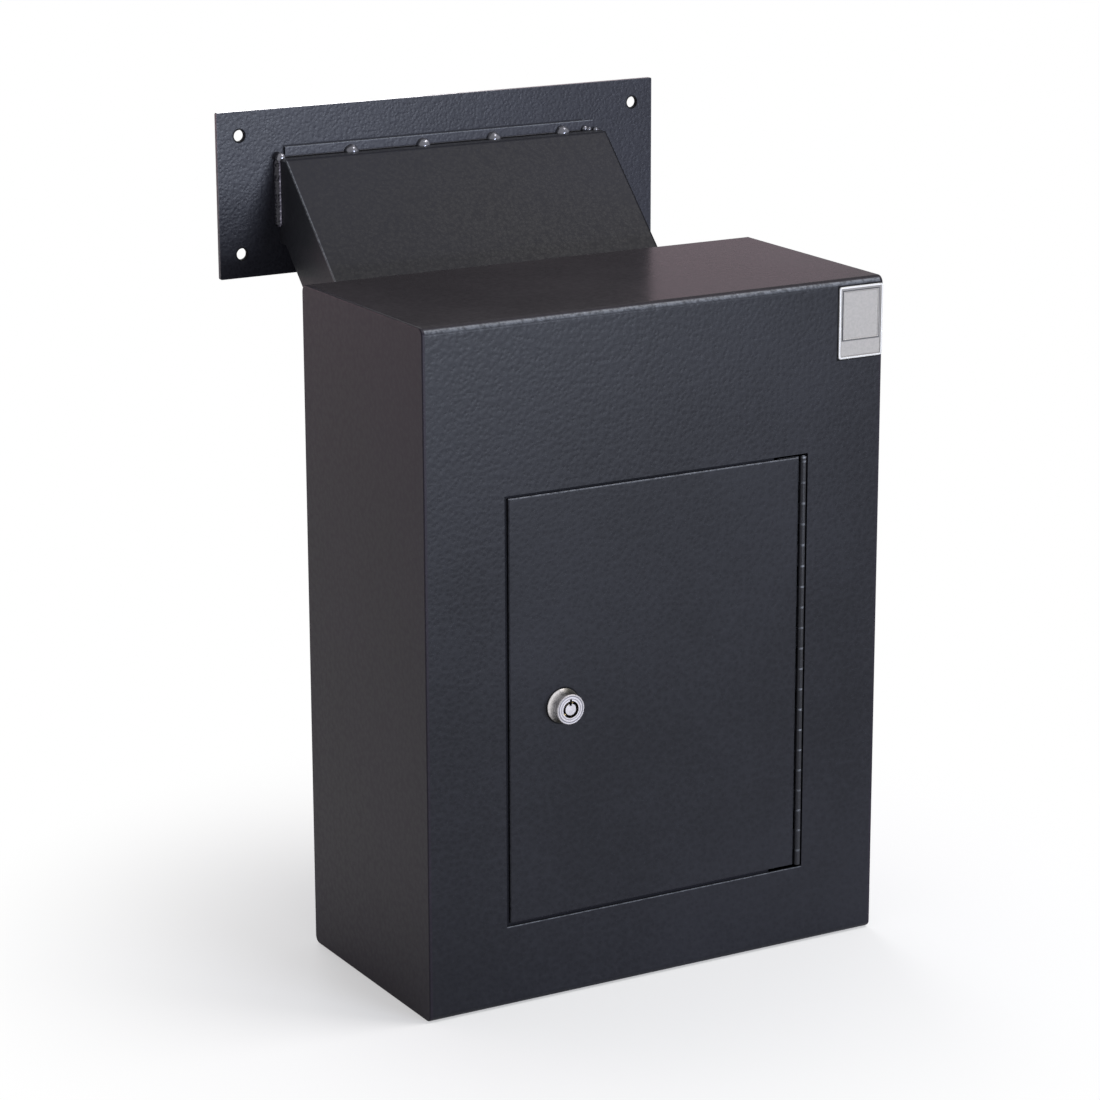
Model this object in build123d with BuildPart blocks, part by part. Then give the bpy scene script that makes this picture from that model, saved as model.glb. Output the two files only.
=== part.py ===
"""Through-the-wall key drop box: a sheet steel box with a flush door, a piano hinge, a tubular cam lock
and a sloping deposit chute that slides in a sleeve on the box's back, behind a wall plate.

Millimetres. +X is to the right as seen from the front, +Y goes back into the wall, +Z is up.
The origin is the centre of the box's bottom face.
"""

import os
from math import cos, radians, sin, tan

from build123d import *

os.makedirs("parts", exist_ok=True)

# ---------------------------------------------------------------- driving dimensions

# Box
box_width = 304.8
box_depth = 149.2
box_height = 406.4
sheet = 1.9  # body and door sheet
bend_radius = 2.5  # inside radius of the body's bends
edge_round = 0.8  # ground edges of the side panels
seam_gap = 1.2  # butt seam of the wrapper, under the box
seam_offset = 45.0  # behind the middle of the bottom
seam_crown_width = 5.0
seam_crown_height = 0.9

# Door opening and door
opening_width = 203.2
opening_height = 256.8
opening_sill = 49.0  # height of the opening's lower edge
door_gap_side = 2.6
door_gap_top = 1.8
door_gap_bottom = 2.0
door_edge_round = 0.8
stop_thickness = 1.9
stop_land = 8.0  # part of a stop strip that is welded behind the sheet
stop_lap = 6.0  # part of a stop strip that stands into the opening

# Piano hinge
pin_diameter = 1.8
pin_clearance = 0.05  # radial
leaf_thickness = 1.0
leaf_width = 17.0  # from the pin's centre
barrel_gap_frame = 1.0  # between the barrel and the opening's edge
barrel_gap_door = 1.6  # between the barrel and the door's edge
barrel_gap_ends = 1.6  # between the hinge and the opening's lower and upper edges
knuckle_pitch = 12.7
lowest_knuckle = 9.3  # the hinge is cut from long stock, so its end knuckles are short
shortest_knuckle = 2.5  # a shorter one at the top joins the knuckle under it
knuckle_gap = 0.25
knuckle_relief = 0.35  # from the barrel to the notch of the other leaf
curl_slit = 0.3  # where the rolled end meets its leaf
pin_dome = 0.4
leaf_weld_leg = 1.0
leaf_weld_length = 12.0
leaf_weld_pitch = 56.0

# Tubular cam lock
lock_inset = 34.9  # from the door's free edge to the lock's axis
head_length = 9.2
head_face_radius = 8.9
head_rim_length = 1.0
head_waist_radius = 8.4
head_waist_hollow = 0.8  # depth of the hollow curve between waist and flange
head_flange_radius = 10.3
head_flange_length = 1.0
head_chamfer = 0.4
body_radius = 9.4
body_flats = 16.2  # across the two flats
body_clearance = 0.15
body_reach = 8.3  # behind the door
keyway_radius = 5.1
keyway_depth = 5.0
post_radius = 3.4
post_recess = 0.3
notch_width = 1.5
notch_outer_radius = 6.1
notch_inner_radius = 2.1
notch_depth = 2.6
core_radius = 6.6
core_clearance = 0.05  # radial
key_pin_count = 7
key_pin_radius = 0.5
key_pin_length = 3.2
key_pin_stand = 1.2  # above the bottom of the keyway
washer_thickness = 0.8
washer_radius = 11.4
washer_teeth = 16
washer_tooth_depth = 1.3
nut_across_flats = 22.0
nut_thickness = 4.0
nut_clearance = 0.1
nut_chamfer = 0.8

# Cam
cam_thickness = 2.0
cam_width = 16.0
cam_bend = 3.0
cam_hub_reach = 15.0  # flat part round the lock's axis
cam_crank_run = 9.0  # run of the cranked part
cam_engage = 12.0  # how far the tip passes behind the stop
cam_clearance = 0.8  # between the tip and the back of the stop
cam_float = 0.2  # between the hub and the lock's body
cam_tip_round = 3.0
shank_square = 7.2
shank_clearance = 0.1
shank_stand = 0.2  # the cam stands this much above the shank's end
cam_screw_radius = 2.0
cam_screw_reach = 7.0
cam_screw_head_radius = 4.6
cam_screw_head_height = 2.6
cam_screw_head_round = 0.9
cam_screw_recess = 1.3
cam_screw_slot = 1.1
cam_washer_radius = 4.4
cam_washer_thickness = 1.0
cam_washer_split = 0.8

# Chute, wall plate and sleeve
chute_angle = 45.0  # from the horizontal
chute_inset = 40.4  # from the box's side to the chute's side
chute_depth = 39.2  # square to the slope, outside
chute_sheet = 1.5
chute_bend = 1.5
chute_entry = 303.7  # height where the underside of the chute meets the box's back
wall_gap = 113.0  # from the box's back to the wall plate, at the thinnest wall
wall_range = 50.8  # how much thicker the wall may be
hood_ledge = 11.0
hood_flange = 6.5
hood_flange_relief = 4.0
floor_ledge = 8.0
plate_height = 101.6
plate_thickness = 2.7
plate_rise = 5.5  # plate's centre above the middle of the chute
plate_corner = 1.0
plate_hole_inset = 14.7
plate_hole_diameter = 7.1
slot_inset = 4.0  # from the chute's side to the slot's end
slot_height = 44.0
slot_corner = 3.0
sleeve_sheet = 1.5
sleeve_clearance = 0.8
sleeve_length = 38.0
sleeve_overlap = 16.0  # chute still inside the sleeve when it is drawn out
tack_pitch = 50.0
tack_count = 4
tack_offset = 11.0  # from the middle of the row to the middle of the hood
tack_radius = 4.2
bead_leg = 3.6
bead_hollow = 0.6  # place of the bead's middle, as a share of its leg
bead_length = 42.0
sleeve_weld_leg = 3.0
sleeve_stitch_length = 30.0
sleeve_stitch_count = 3

# Back holes and baffle
back_hole_diameter = 8.0
back_hole_spacing_x = 152.4
back_hole_spacing_z = 152.4
baffle_sheet = 1.5
baffle_flange = 16.0
baffle_drop = 52.0  # both down and back, from its bend
baffle_above_opening = 36.0

# ---------------------------------------------------------------- derived places

front_y = -box_depth / 2
back_y = box_depth / 2
front_inner_y = front_y + sheet
back_inner_y = back_y - sheet
side_x = box_width / 2
side_inner_x = side_x - sheet
outer_bend = bend_radius + sheet

opening_left = -opening_width / 2
opening_right = opening_width / 2
opening_bottom = opening_sill
opening_top = opening_sill + opening_height

bore_radius = pin_diameter / 2 + pin_clearance
barrel_radius = bore_radius + leaf_thickness
pin_x = opening_right - barrel_gap_frame - barrel_radius
pin_y = front_inner_y + leaf_thickness - barrel_radius
hinge_bottom = opening_bottom + barrel_gap_ends
hinge_length = opening_height - 2 * barrel_gap_ends
whole_knuckles = int((hinge_length - lowest_knuckle - shortest_knuckle) / knuckle_pitch)
leaf_notch = barrel_radius + knuckle_relief

door_left = opening_left + door_gap_side
door_right = pin_x - barrel_radius - barrel_gap_door
door_bottom = opening_bottom + door_gap_bottom
door_top = opening_top - door_gap_top
lock_x = door_left + lock_inset
lock_z = (door_bottom + door_top) / 2

stop_back_y = front_inner_y + stop_thickness
stop_edge_x = opening_left + stop_lap

chute_width = box_width - 2 * chute_inset
slot_width = chute_width - 2 * slot_inset
plate_width = box_width
plate_front_y = back_y + wall_gap
slope = radians(chute_angle)
floor_z = chute_entry + (plate_front_y - floor_ledge - back_y) * tan(slope)
hood_entry = chute_entry + chute_depth / cos(slope)
hood_z = hood_entry + (plate_front_y - hood_ledge - back_y) * tan(slope)
hood_crease_y = plate_front_y - hood_ledge
floor_crease_y = plate_front_y - floor_ledge
plate_z = (hood_z + floor_z) / 2 + plate_rise
slide_travel = wall_range / cos(slope)
tail_station = sleeve_length - sleeve_overlap - slide_travel
sleeve_half_width = chute_width / 2 + sleeve_clearance + sleeve_sheet
sleeve_rise = (sleeve_clearance + sleeve_sheet) / cos(slope)


def on_slope(station, depth):
    """Point (y, z) at a station up the slope from the box's back and a depth below the hood's face."""
    return (
        back_y + station * cos(slope) + depth * sin(slope),
        hood_entry + station * sin(slope) - depth * cos(slope),
    )


def rectangle_between(left, right, low, high, mode=Mode.ADD):
    """Rectangle by its edges in the sketch's own axes."""
    with Locations(((left + right) / 2, (low + high) / 2)):
        Rectangle(right - left, high - low, mode=mode)


def finish(builder, name):
    """Label a piece and write it as its own STEP file."""
    builder.part.label = name
    export_step(builder.part, f"parts/{name}.step")


# ---------------------------------------------------------------- box

# Front, top, back and bottom are one wrapped sheet, closed by a butt seam under the box.
with BuildPart() as body_wrap:
    with BuildSketch(Plane.YZ):
        with Locations((0, box_height / 2)):
            RectangleRounded(box_depth, box_height, outer_bend)
            RectangleRounded(box_depth - 2 * sheet, box_height - 2 * sheet, bend_radius, mode=Mode.SUBTRACT)
        with Locations((seam_offset, sheet / 2)):
            Rectangle(seam_gap, sheet, mode=Mode.SUBTRACT)
    extrude(amount=side_inner_x, both=True)
    with BuildSketch(Plane.XZ.offset(-front_y)):
        rectangle_between(opening_left, opening_right, opening_bottom, opening_top)
    extrude(amount=-sheet, mode=Mode.SUBTRACT)
    with BuildSketch(Plane.XZ.offset(-back_y)):
        rectangle_between(
            -sleeve_half_width,
            sleeve_half_width,
            chute_entry - sleeve_rise - sheet * tan(slope),
            hood_entry + sleeve_rise,
        )
        with Locations((0, lock_z)):
            with GridLocations(back_hole_spacing_x, back_hole_spacing_z, 2, 2):
                Circle(back_hole_diameter / 2)
    extrude(amount=sheet, mode=Mode.SUBTRACT)
finish(body_wrap, "body_wrap")

# The seam's weld is ground flush outside and keeps a low crown inside.
with BuildPart() as seam_weld:
    with BuildSketch(Plane.YZ):
        with Locations((seam_offset, sheet / 2)):
            Rectangle(seam_gap, sheet)
        with BuildLine():
            crown_start = (seam_offset - seam_crown_width / 2, sheet)
            crown_end = (seam_offset + seam_crown_width / 2, sheet)
            ThreePointArc(crown_start, (seam_offset, sheet + seam_crown_height), crown_end)
            Line(crown_end, crown_start)
        make_face()
    extrude(amount=side_inner_x, both=True)
finish(seam_weld, "seam_weld")


def side_panel(outward):
    """Flat end panel, welded over the wrapper's ends and ground flush."""
    with BuildPart() as panel:
        with BuildSketch(Plane.YZ.offset(outward * side_inner_x)):
            with Locations((0, box_height / 2)):
                RectangleRounded(box_depth, box_height, outer_bend)
        extrude(amount=outward * sheet)
        fillet(panel.faces().sort_by(Axis.X)[-1 if outward > 0 else 0].edges(), edge_round)
    return panel


left_side = side_panel(-1)
finish(left_side, "left_side")
right_side = side_panel(1)
finish(right_side, "right_side")


def stop_strip(left, right, low, high):
    """Flat strip welded behind the front sheet, which the closed door rests on."""
    with BuildPart() as strip:
        with BuildSketch(Plane.XZ.offset(-front_inner_y)):
            rectangle_between(left, right, low, high)
        extrude(amount=-stop_thickness)
    return strip


stop_right_end = pin_x - leaf_width - door_gap_side
stop_left = stop_strip(
    opening_left - stop_land, stop_edge_x, opening_bottom - stop_land, opening_top + stop_land
)
finish(stop_left, "stop_left")
stop_top = stop_strip(stop_edge_x, stop_right_end, opening_top - stop_lap, opening_top + stop_land)
finish(stop_top, "stop_top")
stop_bottom = stop_strip(stop_edge_x, stop_right_end, opening_bottom - stop_land, opening_bottom + stop_lap)
finish(stop_bottom, "stop_bottom")

# Anti-fishing baffle: hangs behind the front, above the door, and turns what falls down to the floor.
baffle_bend_z = opening_top + baffle_above_opening
with BuildPart() as baffle:
    with BuildSketch(Plane.YZ):
        with BuildLine():
            FilletPolyline(
                (front_inner_y, baffle_bend_z + baffle_flange),
                (front_inner_y, baffle_bend_z),
                (front_inner_y + baffle_drop, baffle_bend_z - baffle_drop),
                radius=chute_bend + baffle_sheet,
            )
            offset(amount=baffle_sheet, side=Side.LEFT)
        make_face()
    extrude(amount=side_inner_x, both=True)
finish(baffle, "baffle")

# ---------------------------------------------------------------- piano hinge


def knuckle_spans(first):
    """Lower and upper ends of every second knuckle."""
    joints = [hinge_bottom + lowest_knuckle + k * knuckle_pitch for k in range(whole_knuckles + 1)]
    ends = [hinge_bottom, *joints, hinge_bottom + hinge_length]
    spans = [(low + knuckle_gap / 2, high - knuckle_gap / 2) for low, high in zip(ends, ends[1:])]
    return spans[first::2]


def hinge_leaf(side, first):
    """Leaf with its rolled knuckles: side is the way the leaf points along X from the pin."""
    with BuildPart() as leaf:
        with BuildSketch(Plane((pin_x, pin_y, hinge_bottom))):
            flat_ends = sorted((side * leaf_notch, side * leaf_width))
            rectangle_between(*flat_ends, barrel_radius - leaf_thickness, barrel_radius)
        extrude(amount=hinge_length)
        for low, high in knuckle_spans(first):
            with BuildSketch(Plane((pin_x, pin_y, low))):
                Circle(barrel_radius)
                tangent_ends = sorted((0, side * leaf_notch))
                rectangle_between(*tangent_ends, barrel_radius - leaf_thickness, barrel_radius)
                Circle(bore_radius, mode=Mode.SUBTRACT)
                slit_ends = sorted((0, side * barrel_radius))
                with Locations((sum(slit_ends) / 2, barrel_radius - leaf_thickness - curl_slit / 2)):
                    Rectangle(barrel_radius, curl_slit, mode=Mode.SUBTRACT)
            extrude(amount=high - low)
    return leaf


hinge_frame_leaf = hinge_leaf(1, 0)
finish(hinge_frame_leaf, "hinge_frame_leaf")
hinge_door_leaf = hinge_leaf(-1, 1)
finish(hinge_door_leaf, "hinge_door_leaf")

# The pin's ends are peened round, just past the outer knuckles.
with BuildPart() as hinge_pin:
    with BuildSketch(Plane((pin_x, pin_y, hinge_bottom - pin_dome))):
        Circle(pin_diameter / 2)
    extrude(amount=hinge_length + 2 * pin_dome)
    fillet(hinge_pin.edges().filter_by(GeomType.CIRCLE), pin_dome)
finish(hinge_pin, "hinge_pin")


def leaf_welds(side):
    """Row of short fillet welds between a leaf's free edge and the sheet in front of it."""
    count = int((hinge_length - leaf_weld_length) / leaf_weld_pitch) + 1
    low = hinge_bottom + (hinge_length - (count - 1) * leaf_weld_pitch - leaf_weld_length) / 2
    edge_x = pin_x + side * leaf_width
    with BuildPart() as welds:
        with BuildSketch(*[Plane.XY.offset(low + k * leaf_weld_pitch) for k in range(count)]):
            with BuildLine():
                Polyline(
                    (edge_x, front_inner_y),
                    (edge_x + side * leaf_weld_leg, front_inner_y),
                    (edge_x, front_inner_y + leaf_weld_leg),
                    close=True,
                )
            make_face()
        extrude(amount=leaf_weld_length)
    return welds


frame_leaf_welds = leaf_welds(1)
finish(frame_leaf_welds, "frame_leaf_welds")
door_leaf_welds = leaf_welds(-1)
finish(door_leaf_welds, "door_leaf_welds")

# ---------------------------------------------------------------- door and lock

lock_axis = Axis((lock_x, front_y, lock_z), (0, 1, 0))
lock_plane = Plane((lock_x, front_y, lock_z), x_dir=(1, 0, 0), z_dir=(0, 0, 1))


def lock_front_plane(reach):
    """Plane square to the lock's axis, facing forward, at a reach behind the door's face."""
    return Plane((lock_x, front_y + reach, lock_z), x_dir=(1, 0, 0), z_dir=(0, -1, 0))


def double_d(radius, flats):
    """Circle with two flats, left and right."""
    Circle(radius)
    Rectangle(flats, 2 * radius, mode=Mode.INTERSECT)


with BuildPart() as door_panel:
    with BuildSketch(Plane.XZ.offset(-front_y)):
        rectangle_between(door_left, door_right, door_bottom, door_top)
    extrude(amount=-sheet)
    fillet(door_panel.faces().sort_by(Axis.Y)[0].edges(), door_edge_round)
    with BuildSketch(lock_front_plane(0)):
        double_d(body_radius + body_clearance, body_flats + 2 * body_clearance)
    extrude(amount=-sheet, mode=Mode.SUBTRACT)
finish(door_panel, "door_panel")

body_end = sheet + body_reach
keyway_end = keyway_depth - head_length

with BuildPart() as lock_cylinder:
    # head: flat face, rim, waist and flared flange
    with BuildSketch(lock_plane):
        with BuildLine():
            rim = Polyline(
                (0, -head_length),
                (head_face_radius - head_chamfer, -head_length),
                (head_face_radius, -head_length + head_chamfer),
                (head_face_radius, -head_length + head_rim_length),
                (head_waist_radius, -head_length + head_rim_length + head_chamfer),
            )
            waist_end = (head_flange_radius - head_chamfer, -head_flange_length)
            SagittaArc(rim @ 1, waist_end, head_waist_hollow)
            Polyline(
                waist_end,
                (head_flange_radius, -head_flange_length / 2),
                (head_flange_radius, 0),
                (0, 0),
                (0, -head_length),
            )
        make_face()
    revolve(axis=lock_axis)
    # threaded body with two flats
    with BuildSketch(lock_front_plane(body_end)):
        double_d(body_radius, body_flats)
    extrude(amount=body_end)
    # keyway, bore for the core and the key's notch
    with BuildSketch(lock_front_plane(-head_length)):
        Circle(keyway_radius)
    extrude(amount=-head_length - sheet, mode=Mode.SUBTRACT)
    with BuildSketch(lock_front_plane(keyway_end)):
        Circle(core_radius)
    extrude(amount=keyway_end - body_end, mode=Mode.SUBTRACT)
    with BuildSketch(lock_front_plane(-head_length)):
        rectangle_between(-notch_width / 2, notch_width / 2, 0, notch_outer_radius)
    extrude(amount=-notch_depth, mode=Mode.SUBTRACT)
finish(lock_cylinder, "lock_cylinder")

cam_face = body_end + cam_float
cam_back = cam_face + cam_thickness
core_front = keyway_end + core_clearance
core_radius_free = core_radius - core_clearance

with BuildPart() as lock_plug:
    with BuildSketch(lock_front_plane(body_end)):
        Circle(core_radius_free)
    extrude(amount=body_end - core_front)
    with BuildSketch(lock_front_plane(core_front)):
        Circle(post_radius)
    extrude(amount=head_length + core_front - post_recess)
    with BuildSketch(lock_front_plane(cam_back - shank_stand)):
        Rectangle(shank_square, shank_square)
    extrude(amount=cam_back - shank_stand - body_end)
    with BuildSketch(lock_front_plane(post_recess - head_length)):
        rectangle_between(-notch_width / 2, notch_width / 2, notch_inner_radius, keyway_radius)
    extrude(amount=-notch_depth, mode=Mode.SUBTRACT)
    with BuildSketch(lock_front_plane(core_front)):
        with PolarLocations((keyway_radius + post_radius) / 2, key_pin_count, start_angle=90):
            Circle(key_pin_radius)
    extrude(amount=key_pin_stand - key_pin_length, mode=Mode.SUBTRACT)
    with BuildSketch(lock_front_plane(cam_back - shank_stand)):
        Circle(cam_screw_radius)
    extrude(amount=cam_screw_reach, mode=Mode.SUBTRACT)
finish(lock_plug, "lock_plug")

with BuildPart() as key_pins:
    with BuildSketch(lock_front_plane(core_front - key_pin_stand + key_pin_length)):
        with PolarLocations((keyway_radius + post_radius) / 2, key_pin_count, start_angle=90):
            Circle(key_pin_radius)
    extrude(amount=key_pin_length)
finish(key_pins, "key_pins")

with BuildPart() as lock_washer:
    with BuildSketch(lock_front_plane(sheet)):
        Circle(washer_radius)
        with PolarLocations(washer_radius, washer_teeth):
            Circle(washer_tooth_depth, mode=Mode.SUBTRACT)
        Circle(body_radius + nut_clearance, mode=Mode.SUBTRACT)
    extrude(amount=-washer_thickness)
finish(lock_washer, "lock_washer")

with BuildPart() as lock_nut:
    with BuildSketch(lock_front_plane(sheet + washer_thickness)):
        RegularPolygon(nut_across_flats / 2, 6, major_radius=False)
    extrude(amount=-nut_thickness)
    with BuildSketch(lock_front_plane(sheet + washer_thickness)):
        Circle(nut_across_flats / 2 + nut_chamfer)
    extrude(amount=-nut_thickness, mode=Mode.INTERSECT)
    with BuildSketch(lock_front_plane(sheet + washer_thickness)):
        Circle(body_radius + nut_clearance)
    extrude(amount=-nut_thickness, mode=Mode.SUBTRACT)
finish(lock_nut, "lock_nut")

# ---------------------------------------------------------------- cam

# At rest the cam points up, clear of the frame; a quarter turn takes its tip behind the left stop.
tip_face = stop_back_y - front_y + cam_clearance
cam_reach = lock_x - stop_edge_x + cam_engage
crank_end = cam_hub_reach + cam_crank_run

with BuildPart() as lock_cam:
    with BuildSketch(Plane.YZ.offset(lock_x)):
        with BuildLine():
            FilletPolyline(
                (front_y + cam_face, lock_z - cam_width / 2),
                (front_y + cam_face, lock_z + cam_hub_reach),
                (front_y + tip_face, lock_z + crank_end),
                (front_y + tip_face, lock_z + cam_reach),
                radius=cam_bend,
            )
            offset(amount=cam_thickness, side=Side.RIGHT)
        make_face()
    extrude(amount=cam_width / 2, both=True)
    with BuildSketch(lock_front_plane(cam_back)):
        Circle(cam_width / 2)
        rectangle_between(-cam_width / 2, cam_width / 2, 0, cam_reach)
        fillet(vertices().group_by(Axis.Y)[-1], cam_tip_round)
        shank_hole = shank_square + 2 * shank_clearance
        Rectangle(shank_hole, shank_hole, mode=Mode.SUBTRACT)
    extrude(amount=cam_back, mode=Mode.INTERSECT)
finish(lock_cam, "lock_cam")

with BuildPart() as cam_washer:
    with BuildSketch(lock_front_plane(cam_back)):
        Circle(cam_washer_radius)
        Circle(cam_screw_radius + core_clearance, mode=Mode.SUBTRACT)
        rectangle_between(0, cam_washer_radius, 0, cam_washer_split, mode=Mode.SUBTRACT)
    extrude(amount=-cam_washer_thickness)
finish(cam_washer, "cam_washer")

screw_seat = cam_back + cam_washer_thickness
with BuildPart() as cam_screw:
    with BuildSketch(lock_front_plane(screw_seat)):
        Circle(cam_screw_radius - core_clearance)
    extrude(amount=cam_screw_reach + cam_washer_thickness - shank_stand)
    with BuildSketch(lock_front_plane(screw_seat)):
        Circle(cam_screw_head_radius)
    extrude(amount=-cam_screw_head_height)
    fillet(cam_screw.edges().filter_by(GeomType.CIRCLE).sort_by(Axis.Y)[-1], cam_screw_head_round)
    with BuildSketch(lock_front_plane(screw_seat + cam_screw_head_height)):
        Rectangle(2 * cam_screw_head_radius, cam_screw_slot)
        Rectangle(cam_screw_slot, cam_screw_head_radius)
    extrude(amount=cam_screw_recess, mode=Mode.SUBTRACT)
finish(cam_screw, "cam_screw")

# ---------------------------------------------------------------- chute and wall plate

hood_end = on_slope(tail_station, 0)
floor_end = on_slope(tail_station, chute_depth)

# The plate lies on the outer face of the wall and carries the chute.
with BuildPart() as wall_plate:
    with BuildSketch(Plane.XZ.offset(-plate_front_y)):
        with Locations((0, plate_z)):
            RectangleRounded(plate_width, plate_height, plate_corner)
            with GridLocations(plate_width - 2 * plate_hole_inset, plate_height - 2 * plate_hole_inset, 2, 2):
                Circle(plate_hole_diameter / 2, mode=Mode.SUBTRACT)
        with Locations((0, (hood_z + floor_z) / 2)):
            RectangleRounded(slot_width, slot_height, slot_corner, mode=Mode.SUBTRACT)
    extrude(amount=-plate_thickness)
finish(wall_plate, "wall_plate")

# Hood: a flange up the plate, a short ledge and the slope, from one bent sheet.
with BuildPart() as chute_hood:
    flange_face_y = plate_front_y - chute_sheet
    with BuildSketch(Plane.YZ):
        with BuildLine():
            FilletPolyline(
                (flange_face_y, hood_z + hood_flange),
                (flange_face_y, hood_z),
                (hood_crease_y, hood_z),
                hood_end,
                radius=[chute_bend, chute_bend + chute_sheet],
            )
            offset(amount=chute_sheet, side=Side.LEFT)
        make_face()
    extrude(amount=chute_width / 2, both=True)
    with BuildSketch(Plane.XZ.offset(-plate_front_y)):
        relief_x = chute_width / 2 - hood_flange_relief / 2
        with Locations((-relief_x, hood_z + hood_flange / 2), (relief_x, hood_z + hood_flange / 2)):
            Rectangle(hood_flange_relief, hood_flange)
    extrude(amount=chute_bend + chute_sheet, mode=Mode.SUBTRACT)
finish(chute_hood, "chute_hood")

with BuildPart() as chute_floor:
    with BuildSketch(Plane.YZ):
        with BuildLine():
            FilletPolyline((plate_front_y, floor_z), (floor_crease_y, floor_z), floor_end, radius=chute_bend)
            offset(amount=chute_sheet, side=Side.RIGHT)
        make_face()
    extrude(amount=chute_width / 2 - chute_sheet, both=True)
finish(chute_floor, "chute_floor")


def chute_side(outward):
    """Side panel of the chute, under the hood and outside the floor."""
    inner_crease_y = hood_crease_y + chute_sheet * tan(slope / 2)
    with BuildPart() as panel:
        with BuildSketch(Plane.YZ.offset(outward * (chute_width / 2 - chute_sheet))):
            with BuildLine():
                upper = FilletPolyline(
                    (plate_front_y, hood_z - chute_sheet),
                    (inner_crease_y, hood_z - chute_sheet),
                    on_slope(tail_station, chute_sheet),
                    radius=chute_bend,
                )
                lower = FilletPolyline(
                    floor_end, (floor_crease_y, floor_z), (plate_front_y, floor_z), radius=chute_bend
                )
                Line(upper @ 1, lower @ 0)
                Line(lower @ 1, upper @ 0)
            make_face()
        extrude(amount=outward * chute_sheet)
    return panel


chute_left_side = chute_side(-1)
finish(chute_left_side, "chute_left_side")
chute_right_side = chute_side(1)
finish(chute_right_side, "chute_right_side")

# Tack welds in the corner between the hood's ledge and its flange.
with BuildPart() as hood_tacks:
    tack_row = [(k - (tack_count - 1) / 2) * tack_pitch + tack_offset for k in range(tack_count)]
    with Locations(*[(x, flange_face_y, hood_z) for x in tack_row]):
        Sphere(tack_radius)
    split(bisect_by=Plane.XY.offset(hood_z), keep=Keep.TOP)
    split(bisect_by=Plane.XZ.offset(-flange_face_y), keep=Keep.TOP)
    add(chute_hood.part, mode=Mode.SUBTRACT)
finish(hood_tacks, "hood_tacks")

# Fillet welds down the corners between the chute's sides and the plate.
with BuildPart() as side_beads:
    for outward in (-1, 1):
        with BuildSketch(Plane.XY.offset(hood_z - bead_length)):
            with BuildLine():
                corner = (outward * chute_width / 2, plate_front_y)
                plate_toe = (outward * (chute_width / 2 + bead_leg), plate_front_y)
                side_toe = (outward * chute_width / 2, plate_front_y - bead_leg)
                middle_reach = bead_leg * bead_hollow
                middle = (outward * (chute_width / 2 + middle_reach), plate_front_y - middle_reach)
                ThreePointArc(plate_toe, middle, side_toe)
                Polyline(side_toe, corner, plate_toe)
            make_face()
        extrude(amount=bead_length)
finish(side_beads, "side_beads")

# ---------------------------------------------------------------- sleeve on the box's back

mid_station_y, mid_station_z = on_slope(sleeve_length, chute_depth / 2)
with BuildPart() as chute_sleeve:
    slope_axis = (0, cos(slope), sin(slope))
    with BuildSketch(Plane((0, mid_station_y, mid_station_z), x_dir=(1, 0, 0), z_dir=slope_axis)):
        inner_width = chute_width + 2 * sleeve_clearance
        inner_depth = chute_depth + 2 * sleeve_clearance
        Rectangle(inner_width + 2 * sleeve_sheet, inner_depth + 2 * sleeve_sheet)
        Rectangle(inner_width, inner_depth, mode=Mode.SUBTRACT)
    # runs on through the box's back and is cut off flush with its inner face
    extrude(amount=-2 * (sleeve_length + chute_depth))
    split(bisect_by=Plane.XZ.offset(-back_inner_y), keep=Keep.BOTTOM)
finish(chute_sleeve, "chute_sleeve")

# Welds round the sleeve: one down each side and stitches over its top.
with BuildPart() as sleeve_welds:
    for outward in (-1, 1):
        side_low = chute_entry - sleeve_rise + sleeve_weld_leg * tan(slope)
        with BuildSketch(Plane.XY.offset(side_low)):
            with BuildLine():
                Polyline(
                    (outward * sleeve_half_width, back_y),
                    (outward * (sleeve_half_width + sleeve_weld_leg), back_y),
                    (outward * sleeve_half_width, back_y + sleeve_weld_leg),
                    close=True,
                )
            make_face()
        extrude(amount=hood_entry + sleeve_rise - side_low)
    stitch_pitch = 2 * sleeve_half_width / sleeve_stitch_count
    stitch_row = [(k - (sleeve_stitch_count - 1) / 2) * stitch_pitch for k in range(sleeve_stitch_count)]
    top_line = hood_entry + sleeve_rise
    with BuildSketch(*[Plane.YZ.offset(x - sleeve_stitch_length / 2) for x in stitch_row]):
        with BuildLine():
            Polyline(
                (back_y, top_line),
                (back_y + sleeve_weld_leg, top_line + sleeve_weld_leg * tan(slope)),
                (back_y, top_line + sleeve_weld_leg / cos(slope)),
                close=True,
            )
        make_face()
    extrude(amount=sleeve_stitch_length)
finish(sleeve_welds, "sleeve_welds")

print(f"hinge pin at x {pin_x:.3f}, y {pin_y:.3f}; lock axis at x {lock_x:.3f}, z {lock_z:.3f}")
print(f"wall plate front at y {plate_front_y:.3f}, centre at z {plate_z:.3f}; travel {slide_travel:.3f}")
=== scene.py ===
# %% [markdown]
# # Dressing a through-the-wall key drop box
#
# The steel work, the hinge, the lock and the chute come in finished from the CAD frame, each as its own
# node. What is left for Blender is what a drawing leaves out: the hammered powder coat, the rippled welds,
# the turned face of the lock, the cut threads, the small badge, and a soft studio to see them in.
#
# Everything is in metres, in the frame of the CAD: +X is to the right, +Y goes back into the wall and +Z is
# up. The origin is the centre of the box's bottom face.

# %% Load the frame
from math import cos, pi, radians, sin, sqrt

import bmesh
import bpy
from mathutils import Matrix, Vector


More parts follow.
